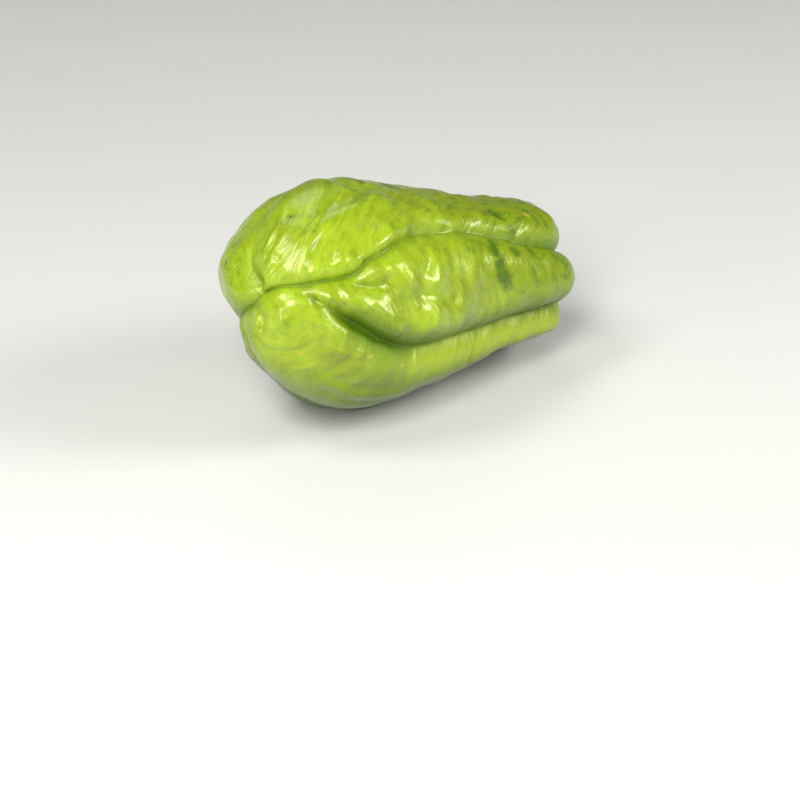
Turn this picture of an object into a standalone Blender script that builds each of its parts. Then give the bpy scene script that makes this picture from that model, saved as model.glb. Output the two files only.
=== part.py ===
"""Chayote squash: one ribbed, pear-shaped fruit lying on its side.

Metres, +Z up. The long axis runs along X, with the broad blossom end at -X and the
narrow stem end at +X. The origin is under the middle of the fruit, on the surface
that it lies on.

A place on the skin is two numbers: the share of the way from the blossom end, 0, to
the stem end, 1, and the angle round the axis in degrees, with 0 at the front (-Y),
90 on top, 180 at the back (+Y) and 270 underneath.
"""
import bpy
import numpy as np

# The bare pear, before its furrows and swells
HALF_LENGTH = 0.0781
GIRTH = (0.0440, 0.0491, 0.0423, 0.0362, 0.0440)
BLUNTNESS = 0.775
BLOSSOM_SHIFT = (-0.0114, 0.0107)
STEM_SHIFT = (0.0050, -0.0030)

# How it lies: the narrow end dips by TILT degrees, and the belly is flat to this depth
TILT = 6.0
REST_DEPTH = 0.0013

# Mesh: rings from end to end, points round a ring, and how much closer the rings lie
# within END_REACH of either end
RINGS = 58
AROUND = 98
END_CROWDING = 1.6
END_REACH = 0.012

# The furrows between the lobes. Each path point is (share, angle, depth). The half
# widths run along the path on its left, towards larger angles, and on its right.
# shoulder is how round the edges are, and floor how round the bottom of the furrow is.
FURROWS = {
    # between the top lobe and the middle lobe
    "upper_front": {
        "path": [(0.046, 33, 0.0030), (0.060, 32, 0.0050), (0.091, 33, 0.0044), (0.131, 33, 0.0042),
                 (0.196, 31, 0.0046), (0.253, 32, 0.0050), (0.288, 32, 0.0054), (0.325, 34, 0.0052),
                 (0.345, 38, 0.0048), (0.378, 41, 0.0044), (0.411, 45, 0.0040), (0.448, 49, 0.0038),
                 (0.468, 52, 0.0036), (0.529, 54, 0.0036), (0.562, 52, 0.0038), (0.646, 46, 0.0046),
                 (0.703, 43, 0.0056), (0.781, 41, 0.0066), (0.860, 42, 0.0076), (0.985, 44, 0.0080)],
        "left": (0.009, 0.010, 0.009, 0.006, 0.0038, 0.0045, 0.008, 0.013, 0.016),
        "right": (0.007, 0.009, 0.010, 0.011, 0.012, 0.014, 0.018),
        "shoulder": 0.60,
        "floor": (0.0002, 0.0002, 0.0002, 0.0004, 0.0020, 0.0024, 0.0010),
    },
    # between the middle lobe, which hangs over it, and the lower lobe
    "lower_front": {
        "path": [(0.165, 27, 0.0004), (0.198, 24, 0.0016), (0.221, 20, 0.0030), (0.240, 17, 0.0022),
                 (0.262, 14, 0.0038), (0.289, 9, 0.0062), (0.312, 6, 0.0074), (0.335, 3, 0.0080),
                 (0.372, -2, 0.0082), (0.406, -6, 0.0082), (0.427, -8, 0.0080), (0.458, -11, 0.0080),
                 (0.480, -12, 0.0080), (0.527, -13, 0.0080), (0.589, -14, 0.0080), (0.639, -14, 0.0080),
                 (0.704, -14, 0.0080), (0.833, -20, 0.0080), (0.985, -26, 0.0080)],
        "left": (0.004, 0.005, 0.008, 0.0105, 0.0135, 0.015, 0.014, 0.016),
        "right": (0.004, 0.005, 0.008, 0.014, 0.016, 0.016, 0.015, 0.014),
        "shoulder": 0.72,
        "shoulder_right": 0.95,
        "floor": (0.0006,),
    },
    # a short crease off the upper one, on the middle lobe
    "short_crease": {
        "path": [(0.298, 31, 0.0010), (0.311, 28, 0.0026), (0.331, 27, 0.0032), (0.356, 26, 0.0030),
                 (0.375, 28, 0.0018), (0.391, 30, 0.0003)],
        "left": (0.006,),
        "right": (0.006,),
        "shoulder": 0.70,
        "floor": (0.0006,),
    },
    # between the lower lobe and the one underneath
    "under_front": {
        "path": [(0.048, 30, 0.0030), (0.021, -5, 0.0044), (0.043, 246, 0.0056), (0.080, 262, 0.0060),
                 (0.120, 268, 0.0060), (0.250, 275, 0.0058), (0.350, 290, 0.0060), (0.450, 302, 0.0066),
                 (0.600, 303, 0.0066), (0.800, 303, 0.0070), (0.985, 303, 0.0080)],
        "left": (0.009, 0.018, 0.022, 0.022, 0.022),
        "right": (0.009, 0.018, 0.022, 0.022, 0.022),
        "shoulder": 0.60,
        "floor": (0.0008,),
    },
    # between the top lobe and the back lobe
    "upper_back": {
        "path": [(0.046, 34, 0.0030), (0.052, 50, 0.0048), (0.049, 63, 0.0046), (0.057, 88, 0.0042),
                 (0.074, 97, 0.0034), (0.100, 101, 0.0026), (0.130, 104, 0.0022), (0.160, 107, 0.0024),
                 (0.211, 111, 0.0032), (0.260, 116, 0.0040), (0.450, 122, 0.0056), (0.700, 122, 0.0062),
                 (0.985, 122, 0.0080)],
        "left": (0.008, 0.018, 0.022, 0.020),
        "right": (0.008, 0.014, 0.022, 0.020),
        "shoulder": 0.60,
        "floor": (0.0005, 0.0040, 0.0030, 0.0010, 0.0006),
    },
    # between the back lobe and the one underneath
    "under_back": {
        "path": [(0.030, 262, 0.0020), (0.060, 236, 0.0056), (0.130, 225, 0.0066), (0.300, 228, 0.0068),
                 (0.500, 222, 0.0068), (0.800, 224, 0.0070), (0.985, 228, 0.0080)],
        "left": (0.022,),
        "right": (0.022,),
        "shoulder": 0.60,
        "floor": (0.0008,),
    },
    # parts the narrow end of the back lobe in two
    "back_crease": {
        "path": [(0.300, 168, 0.0002), (0.400, 171, 0.0016), (0.500, 174, 0.0030), (0.620, 174, 0.0042),
                 (0.780, 172, 0.0054), (0.985, 170, 0.0076)],
        "left": (0.012, 0.016, 0.018),
        "right": (0.012, 0.016, 0.018),
        "shoulder": 0.60,
        "floor": (0.0020, 0.0010),
    },
}

# Swells, which stand out, and dimples, whose height is below 0. Each path point is
# (share, angle, height). width is how far a swell spreads to either side of its path,
# and width_right how far on the path's right, where that is different.
SWELLS = {
    "back_end": {"path": [(0.070, 160, 0.0035), (0.130, 172, 0.0035)], "width": 0.015},
    "top_valley": {
        "path": [(0.380, 88, -0.0010), (0.440, 88, -0.0020), (0.520, 90, -0.0024), (0.650, 92, -0.0012),
                 (0.800, 88, -0.0015), (0.950, 70, -0.0040)],
        "width": 0.016,
    },
    "middle_knuckle": {"path": [(0.930, -2, -0.0026), (0.970, -5, -0.0026)], "width": 0.012},
    "knuckle_top": {"path": [(0.840, 27, 0.0012), (0.920, 29, 0.0016)], "width": 0.010},
    "lower_knuckle": {"path": [(0.800, -44, 0.0010), (0.880, -46, 0.0016)], "width": 0.012},
    "lower_corner": {"path": [(0.060, 305, 0.0030), (0.110, 312, 0.0030)], "width": 0.018},
    "top_shoulder": {"path": [(0.210, 98, 0.0008), (0.260, 98, 0.0014)], "width": 0.014},
    "back_slope": {"path": [(0.080, 130, -0.0016), (0.150, 134, -0.0016)], "width": 0.014},
    "belly": {"path": [(0.420, 262, 0.0006), (0.500, 264, 0.0012), (0.620, 264, 0.0005)], "width": 0.018},
    "upper_rib": {
        "path": [(0.310, 31, 0.0006), (0.329, 34, 0.0024), (0.371, 35, 0.0026), (0.401, 37, 0.0014),
                 (0.430, 40, 0.0004)],
        "width": 0.0062,
        "width_right": 0.0042,
    },
    "lower_rib": {
        "path": [(0.222, 24, 0.0006), (0.255, 23, 0.0016), (0.292, 20, 0.0024), (0.334, 14, 0.0032),
                 (0.362, 8, 0.0036), (0.388, 4, 0.0034), (0.404, 0, 0.0014)],
        "width": 0.0082,
        "width_right": 0.0048,
    },
    "rib_hollow": {
        "path": [(0.345, 25, -0.0006), (0.372, 21, -0.0012), (0.395, 16, -0.0022), (0.407, 10, -0.0026),
                 (0.413, 4, -0.0018), (0.416, -1, -0.0008)],
        "width": 0.0038,
    },
    "flank_patch": {"path": [(0.400, 23, 0.0014), (0.406, 28, 0.0026), (0.410, 33, 0.0018)], "width": 0.0058},
    "middle_bulge": {
        "path": [(0.424, 8, 0.0034), (0.450, 7, 0.0046), (0.486, 5, 0.0028)],
        "width": 0.0096,
        "width_right": 0.0052,
    },
    "middle_crown": {"path": [(0.400, 26, 0.0010), (0.470, 24, 0.0016)], "width": 0.0150},
    "neck": {"path": [(0.530, 48, -0.0006), (0.536, 30, -0.0012), (0.530, 10, -0.0012), (0.520, -4, -0.0006)],
             "width": 0.0070},
    "bulge_hollow": {
        "path": [(0.406, 21, -0.0010), (0.434, 20, -0.0020), (0.464, 19, -0.0018), (0.488, 17, -0.0006)],
        "width": 0.0032,
    },
    "dimple_mound": {"path": [(0.416, 28, 0.0020), (0.460, 29, 0.0018)], "width": 0.0078},
    "dimple": {"path": [(0.436, 29, -0.0012), (0.451, 30, -0.0012)], "width": 0.0034},
    "top_ridge": {
        "path": [(0.300, 60, 0.0003), (0.330, 65, 0.0010), (0.370, 68, 0.0013), (0.410, 72, 0.0013),
                 (0.450, 80, 0.0010), (0.490, 88, 0.0004)],
        "width": 0.0036,
    },
    "behind_ridge": {
        "path": [(0.320, 71, -0.0004), (0.360, 75, -0.0010), (0.410, 80, -0.0010), (0.450, 88, -0.0005)],
        "width": 0.0055,
    },
    "crease_lip": {
        "path": [(0.338, 41, 0.0008), (0.372, 44, 0.0020), (0.408, 49, 0.0022), (0.440, 53, 0.0010)],
        "width": 0.0080,
        "width_right": 0.0032,
    },
    "crease_bump": {"path": [(0.236, 37, 0.0010), (0.248, 38, 0.0010)], "width": 0.0042},
}

# The woody scar where the stem was, in the hollow of the narrow end
SCAR_RADIUS = 0.0034
SCAR_HEIGHT = 0.0030

# The least roundness of a furrow's bottom, which suits the size of the faces. The relief
# is worked out on a grid that is FINER times as fine, and evened out by these weights.
LEAST_FLOOR = 0.0030
FINER = 3
EVENING = (1, 2, 3, 2, 1)

# Straight steps that stand for a smooth path, and the reach of a swell in widths
PATH_STEPS = 90
SWELL_REACH = 2.5

SKIN_COLOUR = (0.38, 0.55, 0.05, 1.0)
SKIN_ROUGHNESS = 0.32


def spline(points, steps):
    """Points at even steps along the smooth curve through the given ones."""
    p = np.asarray(points, float)
    p = np.concatenate([[2 * p[0] - p[1]], p, [2 * p[-1] - p[-2]]])
    spans = len(p) - 3
    t = np.clip(np.asarray(steps, float) * spans, 0, spans)
    i = np.minimum(t.astype(int), spans - 1)
    f = t - i
    f = f.reshape(f.shape + (1,) * (p.ndim - 1))
    a, b, c, d = p[i], p[i + 1], p[i + 2], p[i + 3]
    return 0.5 * (2 * b + (c - a) * f + (2 * a - 5 * b + 4 * c - d) * f**2 + (3 * b - a - 3 * c + d) * f**3)


def bare_skin(share, angle):
    """The pear: rounder than an ellipse from end to end, with a girth that varies."""
    cosine = np.cos(np.pi * share)
    sine = np.clip(np.sin(np.pi * share), 0, None)
    along = -np.sign(cosine) * np.abs(cosine) ** BLUNTNESS
    radius = spline(GIRTH, (along + 1) / 2) * sine**BLUNTNESS
    blossom = np.clip(-along, 0, 1) ** 2
    stem = np.clip(along, 0, 1) ** 2
    y = BLOSSOM_SHIFT[0] * blossom + STEM_SHIFT[0] * stem - radius * np.cos(angle)
    z = BLOSSOM_SHIFT[1] * blossom + STEM_SHIFT[1] * stem + radius * np.sin(angle)
    return np.stack([HALF_LENGTH * along + 0 * angle, y, z], -1)


def skin_normal(share, angle):
    """The outward direction of the bare skin."""
    step = 1e-3
    share = np.clip(share, step, 1 - step)
    along = bare_skin(share + step, angle) - bare_skin(share - step, angle)
    across = bare_skin(share, angle + step) - bare_skin(share, angle - step)
    normal = np.cross(along, across)
    return normal / np.linalg.norm(normal, axis=-1, keepdims=True)


def near_path(points, path, reach):
    """Distance to a path on the skin, how far along it, the side and the path's value."""
    path = np.array(path, float)
    angle = np.radians(path[:, 1])
    steps = np.linspace(0, 1, PATH_STEPS + 1)
    curve = spline(bare_skin(path[:, 0], angle), steps)
    outward = spline(skin_normal(path[:, 0], angle), steps)
    distance = np.full(len(points), 1e9)
    share = np.zeros(len(points))
    side = np.ones(len(points))
    near = np.all((points > curve.min(0) - reach) & (points < curve.max(0) + reach), axis=1)
    here = points[near]
    best, where, hand = distance[near], share[near], side[near]
    for i in range(PATH_STEPS):
        run = curve[i + 1] - curve[i]
        t = np.clip((here - curve[i]) @ run / (run @ run), 0, 1)
        off = here - curve[i] - t[:, None] * run
        d = np.linalg.norm(off, axis=1)
        closer = d < best
        best[closer] = d[closer]
        where[closer] = (i + t[closer]) / PATH_STEPS
        hand[closer] = np.sign(off[closer] @ np.cross(outward[i], run))
    distance[near], share[near], side[near] = best, where, hand
    value = np.interp(share, np.linspace(0, 1, len(path)), path[:, 2])
    return distance, share, side, value


def spread(values, share):
    """Values spaced evenly along a path, read at a share of its length."""
    return np.interp(share, np.linspace(0, 1, len(values)), values)


def furrow_drop(points, furrow):
    """How far a furrow takes the skin in: rounded shoulders down to a narrow floor."""
    reach = max(furrow["left"] + furrow["right"])
    distance, share, side, depth = near_path(points, furrow["path"], reach)
    width = np.where(side > 0, spread(furrow["left"], share), spread(furrow["right"], share))
    power = np.where(side > 0, furrow["shoulder"], furrow.get("shoulder_right", furrow["shoulder"]))
    floor = np.maximum(spread(furrow["floor"], share), LEAST_FLOOR)
    distance = np.sqrt(distance**2 + floor**2) - floor
    closeness = 1 - np.clip(distance / width, 0, 1)
    return depth * (1 - (1 - closeness**2) ** power)


def swell_rise(points, swell):
    """How far a swell lifts the skin: a bell across its path."""
    width_right = swell.get("width_right", swell["width"])
    reach = max(swell["width"], width_right) * SWELL_REACH
    distance, share, side, height = near_path(points, swell["path"], reach)
    width = np.where(side > 0, swell["width"], width_right)
    return height * np.exp(-((distance / width) ** 2))


def relief(points):
    """Swells less furrows, where furrows that meet run into each other."""
    drop = sum(np.clip(furrow_drop(points, furrow), 0, None) ** 3 for furrow in FURROWS.values())
    rise = sum(swell_rise(points, swell) for swell in SWELLS.values())
    scar = np.linalg.norm(points - bare_skin(np.array([1.0]), np.array([0.0])), axis=1) / SCAR_RADIUS
    return rise - np.cbrt(drop) + SCAR_HEIGHT * np.exp(-(scar**4))


def ring_shares(rings):
    """Shares whose rings are evenly spaced along the skin, and closer at both ends."""
    share = np.linspace(0, 1, 4001)
    profile = bare_skin(share, np.full_like(share, np.pi / 2))
    length = np.append(0, np.cumsum(np.linalg.norm(np.diff(profile, axis=0), axis=1)))
    to_end = np.minimum(length, length[-1] - length)
    density = 1 + END_CROWDING * np.exp(-((to_end / END_REACH) ** 2))
    count = np.append(0, np.cumsum(density[1:] * np.diff(length)))
    return np.interp(np.linspace(0, count[-1], rings + 1), count, share)


def skin_grid(rings, around):
    """Shares and angles of the places on the skin where the rings have their points."""
    return np.meshgrid(ring_shares(rings), np.arange(around) * 2 * np.pi / around, indexing="ij")


def even_relief(rings, around):
    """The relief at the rings' points, evened out over about the size of a face."""
    share, angle = skin_grid(rings * FINER, around * FINER)
    rise = relief(bare_skin(share, angle).reshape(-1, 3)).reshape(share.shape)
    reach = len(EVENING) // 2
    rows = np.pad(rise, ((reach, reach), (0, 0)), mode="edge")
    along = sum(weight * rows[i : i + len(rise)] for i, weight in enumerate(EVENING))
    across = sum(weight * np.roll(along, i - reach, axis=1) for i, weight in enumerate(EVENING))
    return across[::FINER, ::FINER] / sum(EVENING) ** 2


def fruit_points(rings, around):
    """The skin's points, lying on the surface, as rings by points by three."""
    share, angle = skin_grid(rings, around)
    skin = bare_skin(share, angle)
    skin = skin + skin_normal(share, angle) * even_relief(rings, around)[..., None]
    skin[0] = skin[0].mean(0)
    skin[-1] = skin[-1].mean(0)
    tilt = np.radians(TILT)
    x = skin[..., 0] * np.cos(tilt) + skin[..., 2] * np.sin(tilt)
    z = skin[..., 2] * np.cos(tilt) - skin[..., 0] * np.sin(tilt)
    z = np.maximum(z - z.min() - REST_DEPTH, 0)
    y = skin[..., 1]
    x = x - (x.min() + x.max()) / 2
    y = y - (y.min() + y.max()) / 2
    return np.stack([x, y, z], -1)


def skin_triangles(points):
    """Corner numbers of the triangles: a fan at each end, and squares cut the short way."""
    rings, around = points.shape[:2]
    number = np.arange((rings - 2) * around).reshape(rings - 2, around) + 1
    first, last = 0, (rings - 2) * around + 1
    ahead = np.roll(number, -1, axis=1)
    a, b, c, d = number[:-1], number[1:], ahead[1:], ahead[:-1]
    body = points[1:-1]
    beside = np.roll(body, -1, axis=1)
    rising = np.linalg.norm(body[:-1] - beside[1:], axis=-1)
    falling = np.linalg.norm(body[1:] - beside[:-1], axis=-1)
    short = (rising <= falling)[..., None]
    one = np.where(short, np.stack([a, b, c], -1), np.stack([a, b, d], -1))
    two = np.where(short, np.stack([a, c, d], -1), np.stack([b, c, d], -1))
    start = np.stack([np.full(around, first), number[0], ahead[0]], -1)
    end = np.stack([np.full(around, last), ahead[-1], number[-1]], -1)
    return np.concatenate([start, one.reshape(-1, 3), two.reshape(-1, 3), end])


def skin_material():
    """Smooth yellow-green skin."""
    material = bpy.data.materials.new("skin")
    material.use_nodes = True
    shader = material.node_tree.nodes["Principled BSDF"]
    shader.inputs["Base Color"].default_value = SKIN_COLOUR
    shader.inputs["Roughness"].default_value = SKIN_ROUGHNESS
    shader.inputs["Metallic"].default_value = 0.0
    return material


def make_fruit():
    """The whole fruit, one closed solid."""
    points = fruit_points(RINGS, AROUND)
    corners = np.concatenate([points[0, :1], points[1:-1].reshape(-1, 3), points[-1, :1]])
    mesh = bpy.data.meshes.new("fruit")
    mesh.from_pydata(corners.tolist(), [], skin_triangles(points).tolist())
    mesh.shade_smooth()
    mesh.materials.append(skin_material())
    fruit = bpy.data.objects.new("fruit", mesh)
    bpy.context.scene.collection.objects.link(fruit)
    return fruit


def main():
    for old in list(bpy.data.objects):
        bpy.data.objects.remove(old)
    make_fruit()


main()
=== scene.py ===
import math
import bpy
import numpy as np
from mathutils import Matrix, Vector


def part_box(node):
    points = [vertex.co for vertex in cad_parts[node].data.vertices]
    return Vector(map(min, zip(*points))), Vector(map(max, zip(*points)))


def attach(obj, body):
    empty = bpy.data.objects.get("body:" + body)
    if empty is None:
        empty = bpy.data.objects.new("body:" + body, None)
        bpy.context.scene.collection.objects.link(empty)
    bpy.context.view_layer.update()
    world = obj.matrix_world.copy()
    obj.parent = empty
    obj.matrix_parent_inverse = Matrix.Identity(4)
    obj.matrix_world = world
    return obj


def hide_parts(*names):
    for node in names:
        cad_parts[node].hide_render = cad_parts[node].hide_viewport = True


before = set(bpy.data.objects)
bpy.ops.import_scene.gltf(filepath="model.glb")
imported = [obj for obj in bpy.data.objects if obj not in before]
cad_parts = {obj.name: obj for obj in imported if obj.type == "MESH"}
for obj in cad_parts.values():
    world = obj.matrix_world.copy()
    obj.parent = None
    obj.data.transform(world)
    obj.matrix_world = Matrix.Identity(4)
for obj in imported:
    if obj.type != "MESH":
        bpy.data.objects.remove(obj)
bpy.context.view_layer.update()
low, high = (np.array(corner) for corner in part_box("fruit"))
print("frame loaded: the fruit measures", ((high - low) * 1000).round(1).tolist(), "mm")


# The pear under the lobes, in metres. A place on the skin is two numbers: the share of
# the way from the blossom end to the stem end, and the angle round the axis in degrees,
# with 0 at the front, 90 on top, 180 at the back and 270 underneath.
pear = {
    "halfLength": 0.0781,
    "girth": (0.0440, 0.0491, 0.0423, 0.0362, 0.0440),  # radii at even steps along it
    "bluntness": 0.775,
    "blossomShift": (-0.0114, 0.0107),
    "stemShift": (0.0050, -0.0030),
    "tilt": 6.0,  # the narrow end dips by this many degrees
    "restDepth": 0.0013,  # how far in the belly is flat
    "rings": 263,
    "around": 378,
    "endCrowding": 1.6,  # how much closer together the rings lie at both ends
    "endReach": 0.012,
    "profileSteps": 4001,
}

# Furrows: path points are (share, angle, depth). The half widths run along the path, on
# its left towards larger angles and on its right. shoulder is how round the edges are.
furrows = {
    "upperFront": {
        "path": [(0.046, 33, 0.0030), (0.060, 32, 0.0050), (0.091, 33, 0.0044), (0.131, 33, 0.0042),
                 (0.196, 31, 0.0046), (0.253, 32, 0.0050), (0.288, 32, 0.0054), (0.325, 34, 0.0052),
                 (0.345, 38, 0.0048), (0.378, 41, 0.0044), (0.411, 45, 0.0040), (0.448, 49, 0.0038),
                 (0.468, 52, 0.0036), (0.529, 54, 0.0036), (0.562, 52, 0.0038), (0.646, 46, 0.0046),
                 (0.703, 43, 0.0056), (0.781, 41, 0.0066), (0.860, 42, 0.0076), (0.985, 44, 0.0080)],
        "left": (0.009, 0.010, 0.009, 0.006, 0.0038, 0.0045, 0.008, 0.013, 0.016),
        "right": (0.007, 0.009, 0.010, 0.011, 0.012, 0.014, 0.018),
        "shoulder": 0.60,
        "floor": (0.0002, 0.0002, 0.0002, 0.0004, 0.0020, 0.0024, 0.0010),
    },
    "lowerFront": {
        "path": [(0.165, 27, 0.0004), (0.198, 24, 0.0016), (0.221, 20, 0.0030), (0.240, 17, 0.0022),
                 (0.262, 14, 0.0038), (0.289, 9, 0.0062), (0.312, 6, 0.0074), (0.335, 3, 0.0080),
                 (0.372, -2, 0.0082), (0.406, -6, 0.0082), (0.427, -8, 0.0080), (0.458, -11, 0.0080),
                 (0.480, -12, 0.0080), (0.527, -13, 0.0080), (0.589, -14, 0.0080), (0.639, -14, 0.0080),
                 (0.704, -14, 0.0080), (0.833, -20, 0.0080), (0.985, -26, 0.0080)],
        "left": (0.004, 0.005, 0.008, 0.0105, 0.0135, 0.015, 0.014, 0.016),
        "right": (0.004, 0.005, 0.008, 0.014, 0.016, 0.016, 0.015, 0.014),
        "shoulder": 0.72,
        "shoulderRight": 0.95,
        "floor": (0.0006,),
    },
    "shortCrease": {
        "path": [(0.298, 31, 0.0010), (0.311, 28, 0.0026), (0.331, 27, 0.0032), (0.356, 26, 0.0030),
                 (0.375, 28, 0.0018), (0.391, 30, 0.0003)],
        "left": (0.006,),
        "right": (0.006,),
        "shoulder": 0.70,
        "floor": (0.0006,),
    },
    "underFront": {
        "path": [(0.048, 30, 0.0030), (0.021, -5, 0.0044), (0.043, 246, 0.0056), (0.080, 262, 0.0060),
                 (0.120, 268, 0.0060), (0.250, 275, 0.0058), (0.350, 290, 0.0060), (0.450, 302, 0.0066),
                 (0.600, 303, 0.0066), (0.800, 303, 0.0070), (0.985, 303, 0.0080)],
        "left": (0.009, 0.018, 0.022, 0.022, 0.022),
        "right": (0.009, 0.018, 0.022, 0.022, 0.022),
        "shoulder": 0.60,
        "floor": (0.0008,),
    },
    "upperBack": {
        "path": [(0.046, 34, 0.0030), (0.052, 50, 0.0048), (0.049, 63, 0.0046), (0.057, 88, 0.0042),
                 (0.074, 97, 0.0034), (0.100, 101, 0.0026), (0.130, 104, 0.0022), (0.160, 107, 0.0024),
                 (0.211, 111, 0.0032), (0.260, 116, 0.0040), (0.450, 122, 0.0056), (0.700, 122, 0.0062),
                 (0.985, 122, 0.0080)],
        "left": (0.008, 0.018, 0.022, 0.020),
        "right": (0.008, 0.014, 0.022, 0.020),
        "shoulder": 0.60,
        "floor": (0.0005, 0.0040, 0.0030, 0.0010, 0.0006),
    },
    "underBack": {
        "path": [(0.030, 262, 0.0020), (0.060, 236, 0.0056), (0.130, 225, 0.0066), (0.300, 228, 0.0068),
                 (0.500, 222, 0.0068), (0.800, 224, 0.0070), (0.985, 228, 0.0080)],
        "left": (0.022,),
        "right": (0.022,),
        "shoulder": 0.60,
        "floor": (0.0008,),
    },
    "backCrease": {
        "path": [(0.300, 168, 0.0002), (0.400, 171, 0.0016), (0.500, 174, 0.0030), (0.620, 174, 0.0042),
                 (0.780, 172, 0.0054), (0.985, 170, 0.0076)],
        "left": (0.012, 0.016, 0.018),
        "right": (0.012, 0.016, 0.018),
        "shoulder": 0.60,
        "floor": (0.0020, 0.0010),
    },
}

# Swells and dimples: path points are (share, angle, height). width is the spread, and
# widthRight the spread on the path's right, where that is different.
swells = {
    "backEnd": {"path": [(0.070, 160, 0.0035), (0.130, 172, 0.0035)], "width": 0.015},
    "topValley": {
        "path": [(0.380, 88, -0.0010), (0.440, 88, -0.0020), (0.520, 90, -0.0024),
                 (0.650, 92, -0.0012), (0.800, 88, -0.0015), (0.950, 70, -0.0040)],
        "width": 0.016,
    },
    "middleKnuckle": {"path": [(0.930, -2, -0.0026), (0.970, -5, -0.0026)], "width": 0.012},
    "knuckleTop": {"path": [(0.840, 27, 0.0012), (0.920, 29, 0.0016)], "width": 0.010},
    "lowerKnuckle": {"path": [(0.800, -44, 0.0010), (0.880, -46, 0.0016)], "width": 0.012},
    "lowerCorner": {"path": [(0.060, 305, 0.0030), (0.110, 312, 0.0030)], "width": 0.018},
    "topShoulder": {"path": [(0.210, 98, 0.0008), (0.260, 98, 0.0014)], "width": 0.014},
    "backSlope": {"path": [(0.080, 130, -0.0016), (0.150, 134, -0.0016)], "width": 0.014},
    "belly": {
        "path": [(0.420, 262, 0.0006), (0.500, 264, 0.0012), (0.620, 264, 0.0005)],
        "width": 0.018,
    },
    "upperRib": {
        "path": [(0.310, 31, 0.0006), (0.329, 34, 0.0024), (0.371, 35, 0.0026),
                 (0.401, 37, 0.0014), (0.430, 40, 0.0004)],
        "width": 0.0062,
        "widthRight": 0.0042,
    },
    "lowerRib": {
        "path": [(0.222, 24, 0.0006), (0.255, 23, 0.0016), (0.292, 20, 0.0024),
                 (0.334, 14, 0.0032), (0.362, 8, 0.0036), (0.388, 4, 0.0034), (0.404, 0, 0.0014)],
        "width": 0.0082,
        "widthRight": 0.0048,
    },
    "ribHollow": {
        "path": [(0.345, 25, -0.0006), (0.372, 21, -0.0012), (0.395, 16, -0.0022),
                 (0.407, 10, -0.0026), (0.413, 4, -0.0018), (0.416, -1, -0.0008)],
        "width": 0.0038,
    },
    "flankPatch": {
        "path": [(0.400, 23, 0.0014), (0.406, 28, 0.0026), (0.410, 33, 0.0018)],
        "width": 0.0058,
    },
    "middleBulge": {
        "path": [(0.424, 8, 0.0034), (0.450, 7, 0.0046), (0.486, 5, 0.0028)],
        "width": 0.0096,
        "widthRight": 0.0052,
    },
    "middleCrown": {"path": [(0.400, 26, 0.0010), (0.470, 24, 0.0016)], "width": 0.0150},
    "neck": {
        "path": [(0.530, 48, -0.0006), (0.536, 30, -0.0012), (0.530, 10, -0.0012),
                 (0.520, -4, -0.0006)],
        "width": 0.0070,
    },
    "bulgeHollow": {
        "path": [(0.406, 21, -0.0010), (0.434, 20, -0.0020), (0.464, 19, -0.0018),
                 (0.488, 17, -0.0006)],
        "width": 0.0032,
    },
    "dimpleMound": {"path": [(0.416, 28, 0.0020), (0.460, 29, 0.0018)], "width": 0.0078},
    "dimple": {"path": [(0.436, 29, -0.0012), (0.451, 30, -0.0012)], "width": 0.0034},
    "dimpleCleft": {
        "path": [(0.450, 32, -0.0006), (0.460, 35, -0.0008), (0.464, 38, -0.0004)],
        "width": 0.0019,
    },
    "dimpleTail": {
        "path": [(0.436, 27, -0.0008), (0.442, 24, -0.0010), (0.440, 22, -0.0006)],
        "width": 0.0019,
    },
    "topRidge": {
        "path": [(0.300, 60, 0.0003), (0.330, 65, 0.0010), (0.370, 68, 0.0013),
                 (0.410, 72, 0.0013), (0.450, 80, 0.0010), (0.490, 88, 0.0004)],
        "width": 0.0036,
    },
    "behindRidge": {
        "path": [(0.320, 71, -0.0004), (0.360, 75, -0.0010), (0.410, 80, -0.0010),
                 (0.450, 88, -0.0005)],
        "width": 0.0055,
    },
    "creaseLip": {
        "path": [(0.338, 41, 0.0008), (0.372, 44, 0.0020), (0.408, 49, 0.0022),
                 (0.440, 53, 0.0010)],
        "width": 0.0080,
        "widthRight": 0.0032,
    },
    "creaseBump": {"path": [(0.236, 37, 0.0010), (0.248, 38, 0.0010)], "width": 0.0042},
}

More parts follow.
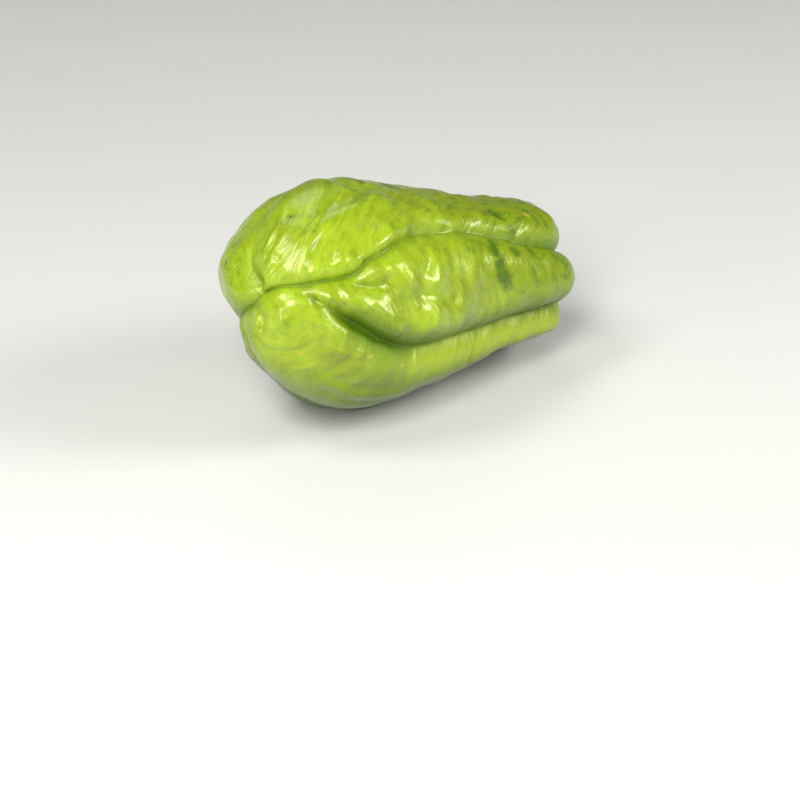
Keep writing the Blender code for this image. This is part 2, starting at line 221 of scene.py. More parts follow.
# Folds: smaller swells, given the same way, that only this finer skin can show
folds = {
    "endFlute": {
        "path": [(0.030, 12, 0.0004), (0.055, -8, 0.0007), (0.064, -28, 0.0008),
                 (0.067, -55, 0.0003)],
        "width": 0.0021,
    },
    "nextFlute": {
        "path": [(0.060, 14, 0.0003), (0.085, -2, 0.0010), (0.102, -14, 0.0010),
                 (0.110, -28, 0.0003)],
        "width": 0.0023,
    },
    "broadFlute": {
        "path": [(0.115, 14, 0.0003), (0.131, 3, 0.0013), (0.147, -13, 0.0013),
                 (0.155, -24, 0.0004)],
        "width": 0.0036,
    },
    "fluteHollow": {
        "path": [(0.045, 14, -0.0003), (0.072, -5, -0.0010), (0.084, -22, -0.0010),
                 (0.090, -40, -0.0003)],
        "width": 0.0021,
    },
    "lobeBump": {"path": [(0.150, 17, 0.0006), (0.160, 18, 0.0006)], "width": 0.0028},
    "lowerLip": {
        "path": [(0.262, 6, 0.0003), (0.300, 3, 0.0013), (0.345, -2, 0.0016), (0.385, -7, 0.0014),
                 (0.430, -11, 0.0004)],
        "width": 0.0027,
    },
    "lowerLine": {
        "path": [(0.265, -7, 0.0003), (0.290, -8, 0.0008), (0.330, -9, 0.0008),
                 (0.365, -10, 0.0002)],
        "width": 0.0018,
    },
    "bellyFold": {
        "path": [(0.235, -27, 0.0002), (0.290, -28, -0.0006), (0.350, -29, -0.0007),
                 (0.430, -28, -0.0003)],
        "width": 0.0021,
    },
    "bellyRidge": {
        "path": [(0.260, -32, 0.0003), (0.340, -34, 0.0008), (0.420, -33, 0.0006),
                 (0.480, -30, 0.0002)],
        "width": 0.0026,
    },
    "bellyLine": {
        "path": [(0.280, -40, -0.0004), (0.370, -41, -0.0007), (0.460, -38, -0.0003)],
        "width": 0.0020,
    },
    "bulgeRight": {"path": [(0.486, 10, 0.0006), (0.490, 6, 0.0005)], "width": 0.0020},
    "flankBump": {"path": [(0.512, 16, 0.0006), (0.517, 12, 0.0005)], "width": 0.0026},
    "tongueNotch": {
        "path": [(0.268, 26, -0.0002), (0.278, 22, -0.0007), (0.285, 18, -0.0006),
                 (0.288, 14, -0.0002)],
        "width": 0.0016,
    },
    "ribNotch": {
        "path": [(0.338, 20, -0.0003), (0.346, 15, -0.0007), (0.350, 10, -0.0006),
                 (0.350, 6, -0.0002)],
        "width": 0.0018,
    },
    "topStreak": {
        "path": [(0.240, 62, 0.0002), (0.262, 67, 0.0008), (0.280, 71, 0.0008),
                 (0.300, 76, 0.0003)],
        "width": 0.0019,
    },
    "topGroove": {
        "path": [(0.232, 80, -0.0004), (0.240, 82, -0.0009), (0.249, 84, -0.0004)],
        "width": 0.0014,
    },
    "backGroove": {"path": [(0.090, 148, -0.0004), (0.098, 153, -0.0008)], "width": 0.0013},
    "leftPit": {"path": [(0.121, 67, -0.0006), (0.124, 64, -0.0006)], "width": 0.0012},
    "rightPit": {"path": [(0.146, 62, -0.0006), (0.149, 59, -0.0006)], "width": 0.0012},
    "backPit": {"path": [(0.057, 125, -0.0007), (0.062, 129, -0.0007)], "width": 0.0013},
    "backBump": {"path": [(0.052, 137, 0.0006), (0.060, 140, 0.0006)], "width": 0.0026},
    "creasePits": {
        "path": [(0.275, 47, 0.0006), (0.282, 44, -0.0005), (0.290, 42, 0.0006)],
        "width": 0.0020,
    },
    "knucklePit": {"path": [(0.598, 66, -0.0003), (0.612, 64, -0.0007)], "width": 0.0016},
}

scar = {"radius": 0.0034, "height": 0.0030}  # the small woody scar at the stem end
pathSteps = 90  # a path is followed in this many straight steps
swellReach = 2.5  # a swell ends at this many widths from its path
tiny = 1e-9  # keeps a length above zero where something is divided by it
furrowFull = 0.008  # a furrow this deep gets its full darkening, partly the skin's own deeper green and partly painted shade
creaseWidth = 0.0006  # the width of the painted shade line along the bottom of a furrow
creaseDepths = (0.0020, 0.0050)  # the furrow depths where the painted shade line begins and where it is fully dark

# Marks on the skin: spots are (share, angle, strength, radius)
marks = {
    "stain": [
        (0.569, 45, 0.9, 0.0030), (0.563, 38, 1.0, 0.0032), (0.566, 30, 1.0, 0.0034),
        (0.571, 23, 1.0, 0.0042), (0.577, 17, 0.8, 0.0036), (0.612, 38, 0.6, 0.0034),
        (0.656, 38, 0.7, 0.0024), (0.643, 23, 0.6, 0.0034), (0.610, 67, 0.9, 0.0028),
        (0.595, 70, 0.8, 0.0020), (0.626, 54, 0.8, 0.0026), (0.483, 97, 0.7, 0.0040),
        (0.440, 96, 0.6, 0.0030), (0.520, 40, 0.5, 0.0030), (0.505, 4, 0.5, 0.0034),
        (0.700, 60, 0.5, 0.0030), (0.690, 140, 0.8, 0.0036), (0.640, 152, 0.7, 0.0044),
        (0.420, 200, 0.6, 0.0040), (0.560, 250, 0.7, 0.0040), (0.760, 210, 0.7, 0.0034),
        (0.300, 150, 0.5, 0.0034), (0.096, 151, 0.9, 0.0014), (0.240, 82, 0.8, 0.0016),
    ],
    "tan": [
        (0.192, -20, 1.0, 0.0010), (0.347, -10, 1.0, 0.0009), (0.426, -17, 1.0, 0.0010),
        (0.682, 67, 0.8, 0.0026), (0.700, 70, 0.5, 0.0020), (0.475, 4, 0.8, 0.0008),
        (0.330, 170, 1.0, 0.0010), (0.550, 230, 1.0, 0.0012), (0.400, 290, 0.9, 0.0010),
        (0.250, 140, 0.8, 0.0009),
    ],
}

# Bands along paths of (share, angle, strength): painted shade on the underside of the middle lobe above the
# lower furrow, and painted light on the strip below that furrow
bands = {
    # Painted shade under the middle lobe
    "shaded": {
        "path": [(0.270, 14, 0.3), (0.300, 10, 0.8), (0.330, 6, 0.9), (0.364, 2, 1.0),
                 (0.400, -2, 1.0), (0.430, -3, 1.0), (0.463, -6, 1.0), (0.500, -6, 0.9),
                 (0.580, -8, 0.8), (0.690, -9, 0.7), (0.830, -15, 0.7)],
        "width": 0.0056,
        "widthRight": 0.0042,
    },
    # Painted light: the strip below the lower furrow is made paler
    "pale": {
        "path": [(0.455, -19, 0.7), (0.515, -21, 1.0), (0.569, -24, 1.0), (0.645, -26, 1.0),
                 (0.732, -28, 1.0), (0.800, -32, 1.0), (0.870, -36, 0.8)],
        "width": 0.0070,
    },
}

# Fine unevenness, added to the lobes: each one is random values on cells of this size.
# Ripples and streaks run round the fruit, and are slid along it by the shift, which is
# given at the front and then every 45 degrees up, over the back and round underneath.
wrinkles = {
    "lumps": {"cell": (0.016, 0.018, 0.018), "height": 0.00045},
    "bumps": {"cell": (0.0080, 0.0090, 0.0090), "height": 0.00060},
    "ripples": {"cell": (0.0034, 0.0090, 0.0090), "height": 0.00042},
    "streaks": {"cell": (0.0019, 0.0060, 0.0060), "height": 0.00015},
    "shift": (0.017, 0.015, 0.050, 0.058, 0.048, 0.030, 0.012, 0.002),
    "patches": 0.020,  # ripples and streaks come and go over this distance
    "everywhere": 0.25,  # their strength, how much it comes and goes, and the most it can be
    "comeAndGo": 0.75,
    "most": 1.6,
    "calmEnd": (0.02, 0.075),  # ripples fade out between these shares, at the puckered end
    "strongest": [  # (share, angle, strength, radius) of places with the most ripples
        (0.170, 66, 1.0, 0.014), (0.235, 62, 1.0, 0.014), (0.300, 56, 0.6, 0.012),
        (0.070, 125, 0.9, 0.012), (0.260, 22, 0.9, 0.009), (0.395, 28, 1.2, 0.008),
        (0.450, 12, 0.9, 0.008), (0.330, -5, 0.8, 0.012), (0.450, -16, 0.6, 0.010),
        (0.540, -20, 1.7, 0.012), (0.640, -24, 1.6, 0.012), (0.740, -26, 1.2, 0.012),
        (0.090, -20, 0.8, 0.012), (0.560, 60, 0.8, 0.010), (0.660, 60, 0.8, 0.010),
        (0.400, 88, 0.7, 0.016), (0.350, 150, 0.9, 0.018), (0.550, 200, 0.9, 0.020),
        (0.400, 250, 0.8, 0.020), (0.650, 100, 0.7, 0.014),
    ],
    "lattice": 64,  # the random values repeat after this many cells
    "seed": 11,
}


# Catmull-Rom curve through the points, read at shares 0 to 1 of its length
def curveThrough(points, steps):
    p = np.asarray(points, float)
    p = np.concatenate([[2 * p[0] - p[1]], p, [2 * p[-1] - p[-2]]])
    spans = len(p) - 3
    t = np.clip(np.asarray(steps, float) * spans, 0, spans)
    i = np.minimum(t.astype(int), spans - 1)
    f = (t - i).reshape(t.shape + (1,) * (p.ndim - 1))
    a, b, c, d = p[i], p[i + 1], p[i + 2], p[i + 3]
    square = 2 * a - 5 * b + 4 * c - d
    cube = 3 * b - a - 3 * c + d
    return 0.5 * (2 * b + (c - a) * f + square * f**2 + cube * f**3)


# The pear: x runs as the cosine and the radius as the sine of the share, both to the
# power of the bluntness, times a girth that varies; the axis is shifted at both ends
def bareSkin(share, angle):
    cosine = np.cos(np.pi * share)
    sine = np.clip(np.sin(np.pi * share), 0, None)
    along = -np.sign(cosine) * np.abs(cosine) ** pear["bluntness"]
    radius = curveThrough(pear["girth"], (along + 1) / 2) * sine ** pear["bluntness"]
    blossom = np.clip(-along, 0, 1) ** 2
    stem = np.clip(along, 0, 1) ** 2
    x = pear["halfLength"] * along + 0 * angle  # one value for each angle too
    y = pear["blossomShift"][0] * blossom + pear["stemShift"][0] * stem - radius * np.cos(angle)
    z = pear["blossomShift"][1] * blossom + pear["stemShift"][1] * stem + radius * np.sin(angle)
    return np.stack([x, y, z], -1)


# Outward direction: the cross product of a small step along and a small step around
def skinNormal(share, angle):
    step = 1e-3
    share = np.clip(share, step, 1 - step)
    along = bareSkin(share + step, angle) - bareSkin(share - step, angle)
    across = bareSkin(share, angle + step) - bareSkin(share, angle - step)
    normal = np.cross(along, across)
    return normal / np.linalg.norm(normal, axis=-1, keepdims=True)


# For every point: its distance to the path, how far along, its side from -1 on the right
# to 1 on the left, and the path's value
def nearPath(points, path, reach):
    path = np.array(path, float)
    angle = np.radians(path[:, 1])
    steps = np.linspace(0, 1, pathSteps + 1)
    curve = curveThrough(bareSkin(path[:, 0], angle), steps)
    outward = curveThrough(skinNormal(path[:, 0], angle), steps)
    near = np.all((points > curve.min(0) - reach) & (points < curve.max(0) + reach), axis=1)
    here = points[near]
    best = np.full(len(here), np.inf)
    where = np.zeros(len(here))
    hand = np.ones(len(here))
    for i in range(pathSteps):  # one step of the path at a time, all points at once
        run = curve[i + 1] - curve[i]
        t = np.clip((here - curve[i]) @ run / (run @ run), 0, 1)
        off = here - curve[i] - t[:, None] * run
        d = np.linalg.norm(off, axis=1)
        closer = d < best
        best[closer] = d[closer]
        where[closer] = (i + t[closer]) / pathSteps
        leftward = np.cross(outward[i], run)
        reached = np.maximum(d[closer], tiny) * np.linalg.norm(leftward)
        hand[closer] = off[closer] @ leftward / reached
    distance = np.full(len(points), np.inf)
    share = np.zeros(len(points))
    side = np.ones(len(points))
    distance[near], share[near], side[near] = best, where, hand
    return distance, share, side, np.interp(share, np.linspace(0, 1, len(path)), path[:, 2])


# Values spaced evenly along a path, read at a share of its length
def spread(values, share):
    return np.interp(share, np.linspace(0, 1, len(values)), values)


# The right value where the side is -1, the left one where it is 1, in proportion between
def bySide(side, left, right):
    return right + (left - right) * (1 + side) / 2


# Depth times 1 - (1 - c*c)^shoulder, where c is 1 on the furrow's line and 0 at its edge.
# Also how close each point is to the line itself, as the bell e^-(d/creaseWidth)^2, which places the
# painted shade line along the bottom.
def furrowDrop(points, furrow):
    reach = max(furrow["left"] + furrow["right"])
    distance, share, side, depth = nearPath(points, furrow["path"], reach)
    width = bySide(side, spread(furrow["left"], share), spread(furrow["right"], share))
    power = bySide(side, furrow["shoulder"], furrow.get("shoulderRight", furrow["shoulder"]))
    floor = spread(furrow["floor"], share)
    crease = np.exp(-((distance / creaseWidth) ** 2)) * np.interp(depth, creaseDepths, (0, 1))
    distance = np.sqrt(distance**2 + floor**2) - floor
    closeness = 1 - np.clip(distance / width, 0, 1)
    return np.clip(depth * (1 - (1 - closeness**2) ** power), 0, None), crease


# Height times the bell e^-(d/width)^2, where d is the distance to the path
def swellRise(points, swell):
    widthRight = swell.get("widthRight", swell["width"])
    reach = max(swell["width"], widthRight) * swellReach
    distance, share, side, height = nearPath(points, swell["path"], reach)
    width = bySide(side, swell["width"], widthRight)
    return height * np.exp(-((distance / width) ** 2))


# The strongest of the bells e^-(d/radius)^2 around the spots of a mark
def markLevel(points, spots):
    level = np.zeros(len(points))
    for share, angle, strength, radius in spots:
        centre = bareSkin(np.array([share]), np.radians([angle]))
        away = np.linalg.norm(points - centre, axis=1)
        level = np.maximum(level, strength * np.exp(-((away / radius) ** 2)))
    return level


# Random values from -1 to 1 on a lattice of cells. Between its corners they blend by
# 6f^5 - 15f^4 + 10f^3, where f is how far across the cell a point is.
def latticeNoise(points, cell, seed):
    size = wrinkles["lattice"]
    lattice = np.random.default_rng(seed).uniform(-1, 1, (size, size, size))
    place = points / np.array(cell)
    base = np.floor(place).astype(int)
    f = place - base
    f = f * f * f * (f * (f * 6 - 15) + 10)
    total = np.zeros(points.shape[:-1])
    for corner in np.ndindex(2, 2, 2):
        index = (base + corner) % size
        weight = np.prod(np.where(np.array(corner) == 1, f, 1 - f), axis=-1)
        total += weight * lattice[index[..., 0], index[..., 1], index[..., 2]]
    return total


# How far the ripples are slid along the fruit at each angle: one closed smooth curve
def slideAt(angle):
    shift = np.array(wrinkles["shift"])
    closed = np.concatenate([shift[-1:], shift, shift[:2]])
    turn = angle / (2 * np.pi) * len(shift)
    return curveThrough(closed, (turn + 1) / (len(closed) - 1))


# Low lumps and bumps all over, and ripples and streaks across the fruit that come and go
def fineRelief(points, share, slide):
    seed = wrinkles["seed"]
    varied = wrinkles["comeAndGo"] * latticeNoise(points, (wrinkles["patches"],) * 3, seed)
    strongest = markLevel(points, wrinkles["strongest"])
    patch = np.clip(wrinkles["everywhere"] + varied + strongest, 0, wrinkles["most"])
    patch *= np.interp(share, wrinkles["calmEnd"], (0, 1))
    slid = points - slide[:, None] * np.array([1.0, 0.0, 0.0])
    total = np.zeros(len(points))
    for number, name in enumerate(("lumps", "bumps", "ripples", "streaks")):
        wave = wrinkles[name]
        place, strength = (slid, patch) if name in ("ripples", "streaks") else (points, 1.0)
        total += wave["height"] * strength * latticeNoise(place, wave["cell"], seed + 1 + number)
    return total, patch


# Shares whose rings lie evenly along the skin, and closer together at both ends
def ringShares(rings):
    share = np.linspace(0, 1, pear["profileSteps"])
    profile = bareSkin(share, np.full_like(share, np.pi / 2))
    length = np.append(0, np.cumsum(np.linalg.norm(np.diff(profile, axis=0), axis=1)))
    toEnd = np.minimum(length, length[-1] - length)
    density = 1 + pear["endCrowding"] * np.exp(-((toEnd / pear["endReach"]) ** 2))
    count = np.append(0, np.cumsum(density[1:] * np.diff(length)))
    return np.interp(np.linspace(0, count[-1], rings + 1), count, share)


# The skin: bare pear plus its normal times swells, less furrows, tilted to lie down, and
# fitted to the box of the solid that it replaces. Where furrows meet, their drops add up
# as cubes. Also gives the levels that the finish reads, such as how deep in a furrow.
def fruitSkin():
    around = np.arange(pear["around"]) * 2 * np.pi / pear["around"]
    share, angle = np.meshgrid(ringShares(pear["rings"]), around, indexing="ij")
    bare = bareSkin(share, angle)
    flat = bare.reshape(-1, 3)
    drops, creaseShades = zip(*(furrowDrop(flat, furrow) for furrow in furrows.values()))
    drop = np.cbrt(sum(d**3 for d in drops))
    rise = sum(swellRise(flat, swell) for swell in (*swells.values(), *folds.values()))
    stemEnd = bareSkin(np.array([1.0]), np.array([0.0]))
    onScar = np.exp(-((np.linalg.norm(flat - stemEnd, axis=1) / scar["radius"]) ** 4))
    rise += scar["height"] * onScar
    slide = slideAt(angle)
    relief, rippled = fineRelief(flat, share.ravel(), slide.ravel())
    height = rise - drop + relief
    skin = bare + skinNormal(share, angle) * height.reshape(share.shape + (1,))
    skin[0] = skin[0].mean(0)
    skin[-1] = skin[-1].mean(0)
    tilt = math.radians(pear["tilt"])
    x = skin[..., 0] * math.cos(tilt) + skin[..., 2] * math.sin(tilt)
    z = skin[..., 2] * math.cos(tilt) - skin[..., 0] * math.sin(tilt)
    z = np.maximum(z - z.min() - pear["restDepth"], 0)
    placed = np.stack([x, skin[..., 1], z], -1)
    ownLow, ownHigh = placed.min((0, 1)), placed.max((0, 1))
    placed = low + (placed - ownLow) * (high - low) / (ownHigh - ownLow)
    levels = {
        "furrow": drop / furrowFull,
        # where the painted shade line along the furrow bottoms lies
        "crease": np.maximum.reduce(creaseShades),
        "scar": onScar,
        "slide": slide,
        "rippled": rippled,
    }
    levels.update({name: markLevel(flat, mark) for name, mark in marks.items()})
    # the bands of painted shade and painted light
    levels.update({name: swellRise(flat, band) for name, band in bands.items()})
    return placed, {name: level.reshape(share.shape) for name, level in levels.items()}


# A closed skin from rings of points: a fan at each end, and squares cut the short way
def closedSkin(name, points, values):
    rings, around = points.shape[:2]
    number = np.arange((rings - 2) * around).reshape(rings - 2, around) + 1
    ahead = np.roll(number, -1, axis=1)
    a, b, c, d = number[:-1], number[1:], ahead[1:], ahead[:-1]
    body = points[1:-1]
    beside = np.roll(body, -1, axis=1)
    rising = np.linalg.norm(body[:-1] - beside[1:], axis=-1)
    falling = np.linalg.norm(body[1:] - beside[:-1], axis=-1)
    short = (rising <= falling)[..., None]
    one = np.where(short, np.stack([a, b, c], -1), np.stack([a, b, d], -1))
    two = np.where(short, np.stack([a, c, d], -1), np.stack([b, c, d], -1))
    start = np.stack([np.zeros(around, int), number[0], ahead[0]], -1)
    end = np.stack([np.full(around, (rings - 2) * around + 1), ahead[-1], number[-1]], -1)
    faces = np.concatenate([start, one.reshape(-1, 3), two.reshape(-1, 3), end])
    corners = np.concatenate([points[0, :1], points[1:-1].reshape(-1, 3), points[-1, :1]])
    mesh = bpy.data.meshes.new(name)
    mesh.vertices.add(len(corners))
    mesh.vertices.foreach_set("co", corners.astype(np.float32).ravel())
    mesh.loops.add(faces.size)
    mesh.loops.foreach_set("vertex_index", faces.astype(np.int32).ravel())
    mesh.polygons.add(len(faces))
    mesh.polygons.foreach_set("loop_start", np.arange(0, faces.size, 3, dtype=np.int32))
    mesh.update(calc_edges=True)
    mesh.shade_smooth()
    for label, grid in values.items():
        level = mesh.attributes.new(label, "FLOAT", "POINT")
        spots = np.concatenate([grid[0, :1], grid[1:-1].ravel(), grid[-1, :1]])
        level.data.foreach_set("value", spots.astype(np.float32))
    piece = bpy.data.objects.new(name, mesh)
    bpy.context.scene.collection.objects.link(piece)
    return piece


# A socket in a node tree: +, - and * on it add Math nodes, and mix blends two colours by it
class Wire:
    def __init__(self, finish, socket):
        self.finish = finish
        self.socket = socket

    def math(self, operation, first, second):
        return self.finish.node("ShaderNodeMath", {"operation": operation}, {0: first, 1: second})

    def __add__(self, other):
        return self.math("ADD", self, other)

    def __radd__(self, other):
        return self.math("ADD", other, self)

    def __sub__(self, other):
        return self.math("SUBTRACT", self, other)

    def __rsub__(self, other):
        return self.math("SUBTRACT", other, self)

    def __mul__(self, other):
        return self.math("MULTIPLY", self, other)

    def __rmul__(self, other):
        return self.math("MULTIPLY", other, self)

    def output(self, number):  # another output of the node that this socket is on
        return Wire(self.finish, self.socket.node.outputs[number])

    def between(self, start, end):  # 0 at start, 1 at end, smooth between
        limits = {"From Min": start, "From Max": end, "Value": self}
        return self.finish.node("ShaderNodeMapRange", {"interpolation_type": "SMOOTHSTEP"}, limits)

    def mix(self, first, second):
        values = {"Factor": self, 6: first, 7: second}
        return self.finish.node("ShaderNodeMix", {"data_type": "RGBA"}, values, 2)


# One material and the nodes in it
class Finish:
    def __init__(self, name):
        self.material = bpy.data.materials.new(name)
        self.material.use_nodes = True
        self.tree = self.material.node_tree
        self.shader = self.tree.nodes["Principled BSDF"]

    def node(self, kind, settings, values, output=0):
        made = self.tree.nodes.new(kind)
        for key, value in settings.items():
            setattr(made, key, value)
        for key, value in values.items():
            self.feed(made.inputs[key], value)
        return Wire(self, made.outputs[output])

    def feed(self, socket, value):
        if isinstance(value, Wire):
            self.tree.links.new(value.socket, socket)
        else:
            socket.default_value = value

    def set(self, **values):  # baseColor="..." sets the shader's Base Color, and so on
        for key, value in values.items():
            words = "".join(" " + letter if letter.isupper() else letter for letter in key)
            self.feed(self.shader.inputs[words[:1].upper() + words[1:]], value)

    def attribute(self, name):
        return self.node("ShaderNodeAttribute", {"attribute_name": name}, {}, 2)

    def places(self):  # Object coordinates, in metres
        return self.node("ShaderNodeTexCoord", {}, {}, 3)

    def noise(self, place, size, detail, roughness):
        values = {"Vector": place, "Scale": 1 / size, "Detail": detail, "Roughness": roughness}
        return self.node("ShaderNodeTexNoise", {}, values)


# Skin colours are linear red, green and blue. Sizes and heights are in metres.
skinFinish = {
    "bright": (0.262, 0.372, 0.012, 1),
    "middle": (0.165, 0.232, 0.005, 1),
    "dark": (0.045, 0.105, 0.002, 1),
    # The furrow colour is partly the skin's own deeper green and partly painted shade. The next colour is
    # painted light for the strip below the lower furrow, and the three after it are painted shade: under
    # the middle lobe, along the furrow bottoms and on the underside.
    "furrow": (0.07, 0.165, 0.002, 1),
    "pale": (0.38, 0.47, 0.02, 1),
    "shaded": (0.045, 0.100, 0.002, 1),
    "crease": (0.045, 0.11, 0.002, 1),
    "under": (0.030, 0.070, 0.002, 1),
    "tan": (0.46, 0.34, 0.04, 1),
    "scar": (0.20, 0.13, 0.06, 1),
    # Noise: size, detail and roughness. Mottle and streaks are stretched round the fruit.
    "plainNoise": {
        "cloud": (0.026, 3.0, 0.5),
        "blotches": (0.0042, 4.0, 0.65),
        "grain": (0.0011, 2.0, 0.5),
        "peel": (0.0008, 1.0, 0.5),
    },
    "acrossNoise": {"mottle": (0.00325, 4.0, 0.6), "streak": (0.0013, 2.0, 0.5)},
    "acrossStretch": (1.0, 0.26, 0.26),
    # How much each pattern adds to a mask
    "shares": {
        "middle": {"cloud": 0.8, "mottle": 0.7, "blotches": 0.5, "narrow": 0.34, "streak": 0.30},
        "stain": {"stain": 0.8, "blotches": 1.2, "mottle": 0.5},
        "scatter": {"blotches": 1.0, "narrow": 0.12, "cloud": 0.10},
    },
    # A mask is 0 at its first level and 1 at its second, times its strength
    "levels": {
        "narrow": (-0.02, 0.06),  # along the fruit
        "middle": (0.88, 1.44),
        "stain": (0.9, 1.6),
        "scatter": (0.66, 0.82),
        "furrow": (0.15, 0.9),
        "under": (0.046, 0.010),  # heights above the floor between which the painted shade underneath comes in
        "tan": (0.35, 0.7),
        "scar": (0.3, 0.8),
        "wax": (0.7, 0.1),  # furrow levels
    },
    "strength": {
        "middle": 1.0,
        "stain": 0.9,
        "scatter": 0.5,
        "furrow": 0.8,
        # The next one is painted light and the three after it are painted shade
        "pale": 0.55,
        "shaded": 0.90,
        "crease": 0.6,
        "under": 0.85,
        "underShadeCutByLight": 0.6,  # this much less painted shade underneath where the band of painted light lies
        "tan": 1.6,
        "wax": 0.25,
    },
    "relief": {"streak": 0.3, "rippled": 1.2, "peel": 0.5, "grain": 0.9, "distance": 0.00015},
    "roughness": {"plain": 0.22, "mottle": 0.12, "furrow": 0.20},
    "specularLevel": 0.55,
    "shader": {
        "coatRoughness": 0.22,
        "specularTint": (1.0, 1.0, 0.55, 1),
        "subsurfaceWeight": 0.08,
        "subsurfaceRadius": (1.0, 0.9, 0.2),
        "subsurfaceScale": 0.002,
    },
}


# Bright green turns to middle green in clouds. Over it come dark stains and scattered flecks, the
# furrows (own deeper green and painted shade), a band of painted light, painted shade in a band,
# along the furrow bottoms and underneath, the tan specks and the scar, one after the other.
def makeSkin():
    finish = Finish("chayoteSkin")
    levels, strength = skinFinish["levels"], skinFinish["strength"]
    relief, roughness = skinFinish["relief"], skinFinish["roughness"]
    plain = finish.places()
    along = finish.node("ShaderNodeSeparateXYZ", {}, {"Vector": plain})  # X, towards the narrow end
    side, up = along.output(1), along.output(2)
    moved = {"X": along - finish.attribute("slide"), "Y": side, "Z": up}
    slid = finish.node("ShaderNodeCombineXYZ", {}, moved)
    across = finish.node("ShaderNodeMapping", {}, {"Vector": slid, "Scale": skinFinish["acrossStretch"]})
    names = (*marks, *bands, "furrow", "crease", "scar", "rippled")
    part = {name: finish.attribute(name) for name in names}
    part.update({name: finish.noise(plain, *noise) for name, noise in skinFinish["plainNoise"].items()})
    part.update({name: finish.noise(across, *noise) for name, noise in skinFinish["acrossNoise"].items()})
    part["narrow"] = along.between(*levels["narrow"])

    def mask(name):  # the parts of the mask, each times its share, added up
        first, *others = (part[key] * share for key, share in skinFinish["shares"][name].items())
        return sum(others, first).between(*levels[name]) * strength[name]

    colour = mask("middle").mix(skinFinish["bright"], skinFinish["middle"])
    colour = mask("stain").mix(colour, skinFinish["dark"])
    colour = mask("scatter").mix(colour, skinFinish["dark"])
    # The furrows darken, partly with the skin's own deeper green and partly with painted shade
    furrowGreenAndShade = part["furrow"].between(*levels["furrow"]) * (1 - part["pale"]) * strength["furrow"]
    colour = furrowGreenAndShade.mix(colour, skinFinish["furrow"])
    # Painted light on the lower strip, then painted shade under the middle lobe and along the furrow
    # bottoms
    for name in ("pale", "shaded", "crease"):
        colour = (part[name] * strength[name]).mix(colour, skinFinish[name])
    # Painted shade on the underside, less of it where the painted light is
    under = up.between(*levels["under"]) * (strength["under"] - part["pale"] * strength["underShadeCutByLight"])
    colour = under.mix(colour, skinFinish["under"])
    specks = (part["tan"] * strength["tan"] * part["grain"]).between(*levels["tan"])
    colour = specks.mix(colour, skinFinish["tan"])
    colour = part["scar"].between(*levels["scar"]).mix(colour, skinFinish["scar"])
    height = part["streak"] * (relief["streak"] + part["rippled"] * relief["rippled"])
    height = height + part["peel"] * relief["peel"] + part["grain"] * relief["grain"]
    bumpValues = {"Height": height, "Strength": 1.0, "Distance": relief["distance"]}
    bump = finish.node("ShaderNodeBump", {}, bumpValues)
    rough = roughness["plain"] + part["mottle"] * roughness["mottle"] + part["furrow"] * roughness["furrow"]
    wax = part["furrow"].between(*levels["wax"]) * (strength["wax"] - part["shaded"] * strength["wax"])
    finish.set(baseColor=colour, roughness=rough, coatWeight=wax, normal=bump)
    finish.set(**skinFinish["shader"])
    finish.shader.inputs["Specular IOR Level"].default_value = skinFinish["specularLevel"]
    return finish.material


chayote = closedSkin("chayote", *fruitSkin())
chayote.data.materials.append(makeSkin())
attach(chayote, "root")
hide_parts("fruit")
print("chayote skin made:", len(chayote.data.polygons), "triangles")


# A plain pale floor, far wider than the fruit, with soft lamps round it
studio = {
    "floorHalf": 6.0,
    "floorColour": (0.55, 0.55, 0.54, 1),
    "floorRoughness": 0.7,
    "sky": (1.0, 1.0, 1.0, 1),
    "skyStrength": 0.09,
    # lamps: azimuth and elevation as seen from the fruit, distance, width and height,
    # watts, colour
    "lamps": {
        "key": (-46, 38, 1.1, (0.34, 0.62), 14.2, (1.0, 0.98, 0.93)),
        "top": (-100, 56, 1.1, (0.38, 0.40), 5.6, (1.0, 0.98, 0.95)),
        "side": (50, 30, 1.2, (0.50, 0.46), 12.5, (1.0, 0.99, 0.95)),
        "front": (8, 10, 1.2, (0.40, 0.26), 1.7, (1.0, 0.99, 0.95)),
        "low": (-78, 9, 1.1, (0.22, 0.30), 2.8, (1.0, 0.98, 0.95)),
        "back": (165, 50, 1.4, (0.70, 0.70), 3.4, (0.92, 0.96, 1.0)),
    },
}

half = studio["floorHalf"]
floorMesh = bpy.data.meshes.new("floor")
floorCorners = [(-half, -half, 0), (half, -half, 0), (half, half, 0), (-half, half, 0)]
floorMesh.from_pydata(floorCorners, [], [(0, 1, 2, 3)])
floor = bpy.data.objects.new("floor", floorMesh)
bpy.context.scene.collection.objects.link(floor)
floorFinish = Finish("paleFloor")
floorFinish.set(baseColor=studio["floorColour"], roughness=studio["floorRoughness"])
floorMesh.materials.append(floorFinish.material)

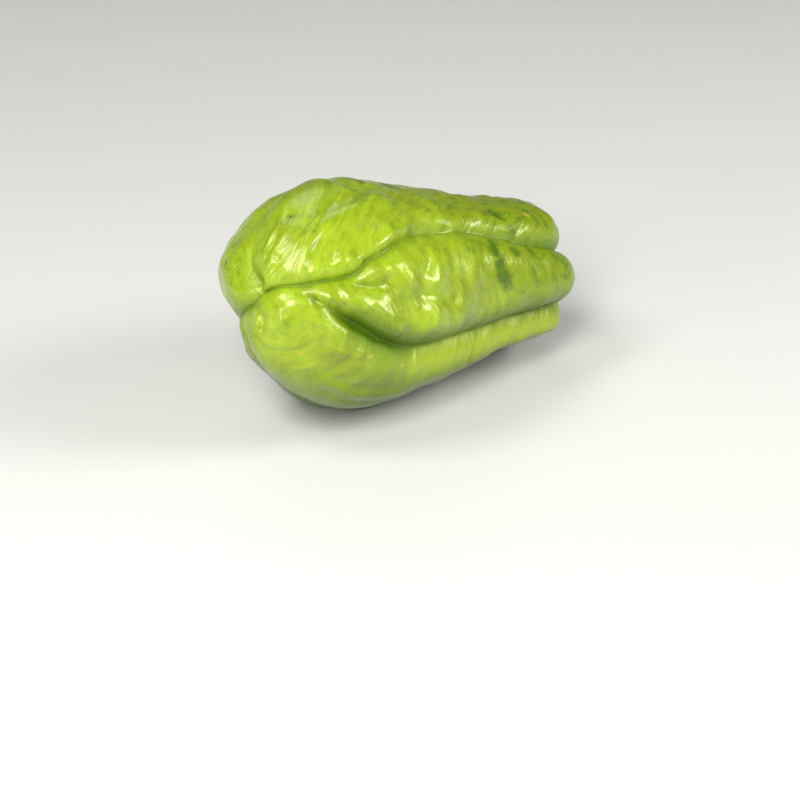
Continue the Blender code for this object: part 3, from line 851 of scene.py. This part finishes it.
world = bpy.data.worlds.new("studio")
world.use_nodes = True
world.node_tree.nodes["Background"].inputs["Color"].default_value = studio["sky"]
world.node_tree.nodes["Background"].inputs["Strength"].default_value = studio["skyStrength"]
bpy.context.scene.world = world
bpy.context.scene.view_settings.view_transform = "Standard"


# Unit vector from the fruit, with azimuth 0 at the front and 90 on the right
def towards(azimuth, elevation):
    a, e = math.radians(azimuth), math.radians(elevation)
    return Vector((math.sin(a) * math.cos(e), -math.cos(a) * math.cos(e), math.sin(e)))


def aimAt(thing, target):
    thing.rotation_euler = (target - thing.location).to_track_quat("-Z", "Y").to_euler()


middle = Vector(((low + high) / 2).tolist())
for name, (azimuth, elevation, distance, size, watts, colour) in studio["lamps"].items():
    light = bpy.data.lights.new(name, "AREA")
    light.shape = "RECTANGLE"
    light.size, light.size_y = size
    light.energy = watts
    light.color = colour
    lamp = bpy.data.objects.new(name, light)
    bpy.context.scene.collection.objects.link(lamp)
    lamp.location = middle + towards(azimuth, elevation) * distance
    aimAt(lamp, middle)
print("studio made")


# The camera stands where the photograph was taken from. middleAt is where the middle of
# the fruit comes in the picture, in pixels of an 800 by 800 frame.
view = {
    "azimuth": -32.0,
    "elevation": 25.0,
    "distance": 0.93,
    "lens": 108.0,
    "sensor": 36.0,
    "frame": 800,
    "middleAt": (398.9, 279.6),
}

camera = bpy.data.cameras.new("camera")
camera.lens = view["lens"]
camera.sensor_width = view["sensor"]
cameraObject = bpy.data.objects.new("camera", camera)
bpy.context.scene.collection.objects.link(cameraObject)
backward = towards(view["azimuth"], view["elevation"])
rightward = Vector((math.cos(math.radians(view["azimuth"])), math.sin(math.radians(view["azimuth"])), 0))
upward = backward.cross(rightward)
cameraObject.location = middle + backward * view["distance"]
perPixel = view["distance"] * view["sensor"] / view["lens"] / view["frame"]
offRight = (view["middleAt"][0] - view["frame"] / 2) * perPixel
offUp = (view["frame"] / 2 - view["middleAt"][1]) * perPixel
aimAt(cameraObject, middle - rightward * offRight - upward * offUp)
bpy.context.scene.camera = cameraObject
print("camera placed")
